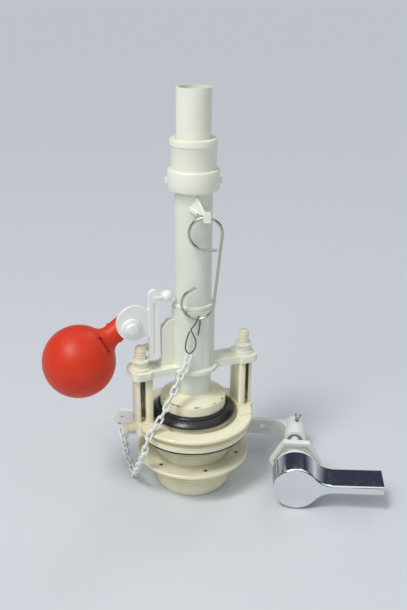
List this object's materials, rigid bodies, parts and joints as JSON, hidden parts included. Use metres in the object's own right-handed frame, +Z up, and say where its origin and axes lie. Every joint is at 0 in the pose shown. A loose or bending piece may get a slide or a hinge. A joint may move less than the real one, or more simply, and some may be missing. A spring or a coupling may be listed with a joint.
{
  "type": "toilet flush valve",
  "caption": "Lift-up toilet flush valve with overflow pipe, guide bridge, float latch, wire hook, lift chain and wall-mounted trip lever.",
  "frame": {"origin": "on the valve axis, at the open end of the outlet tail, which stands on the bench", "axes": "+Z up the valve axis, +X along the guide bridge away from the float, +Y away from the lever's handle"},
  "size_m": [0.2614, 0.2047, 0.3366],
  "materials": {
    "cream_plastic": "moulded cream plastic, slightly satin",
    "pipe_plastic": "extruded pale plastic pipe, satin",
    "ivory_plastic": "moulded ivory plastic, satin",
    "white_plastic": "moulded white plastic, satin",
    "milky_plastic": "milky translucent plastic, satin",
    "black_rubber": "smooth black rubber with a soft shine",
    "red_plastic": "blow-moulded red plastic with a soft sheen",
    "chrome": "polished chrome plate",
    "steel_wire": "bright steel wire",
    "dark_wire": "dull thin steel wire"
  },
  "bodies": {
    "base": {"outlet_shank": "cream_plastic", "lower_flange": "cream_plastic", "seat_ring": "cream_plastic", "left_post": "cream_plastic", "right_post": "cream_plastic", "side_peg": "cream_plastic", "tank_washer": "black_rubber", "lock_nut": "cream_plastic", "bridge": "cream_plastic", "guide_sleeve": "cream_plastic", "stud_nuts": "cream_plastic", "latch_pin": "dark_wire", "lift_chain": "milky_plastic", "wall_bushing": "white_plastic", "wall_washer": "black_rubber", "wall_nut": "white_plastic"},
    "lift_pipe": {"overflow_pipe": "pipe_plastic", "catch_ring": "pipe_plastic", "valve_disc": "cream_plastic", "rubber_seal": "black_rubber", "seal_clamp": "cream_plastic", "pipe_socket": "ivory_plastic", "collar": "ivory_plastic", "grip_ring": "black_rubber", "hanger_lug": "ivory_plastic"},
    "refill": {"refill_tube": "ivory_plastic"},
    "latch": {"latch_arm": "milky_plastic", "clamp_cap": "milky_plastic"},
    "float": {"float_ball": "red_plastic", "float_neck": "red_plastic"},
    "hook": {"wire_hook": "steel_wire", "wire_clip": "dark_wire"},
    "lever": {"lever_handle": "chrome", "spindle": "white_plastic", "lever_arm": "white_plastic", "split_pin": "steel_wire"}
  },
  "joints": [
    {"name": "flush_lift", "type": "slide", "parent": "base", "child": "lift_pipe", "axis": [0, 0, 1], "range_m": [0, 0.019]},
    {"name": "refill_adjust", "type": "slide", "parent": "lift_pipe", "child": "refill", "axis": [0, 0, 1], "range_m": [-0.03, 0.03]},
    {"name": "float_latch", "type": "hinge", "parent": "base", "child": "latch", "pos_m": [-0.0235, 0, 0.1467], "axis": [0, 1, 0], "range_deg": [0, 6]},
    {"name": "float_set", "type": "hinge", "parent": "latch", "child": "float", "pos_m": [-0.0535, 0, 0.1543], "axis": [0, 1, 0], "range_deg": [-8, 25]},
    {"name": "hook_swing", "type": "hinge", "parent": "lift_pipe", "child": "hook", "pos_m": [0.00122, -0.0226, 0.244], "axis": [-0.9272, 0.3746, 0], "range_deg": [0, 60]},
    {"name": "lever_turn", "type": "hinge", "parent": "base", "child": "lever", "pos_m": [0.0623, -0.0759, 0.02], "axis": [0.4602, 0.8878, 0], "range_deg": [0, 30]}
  ]
}
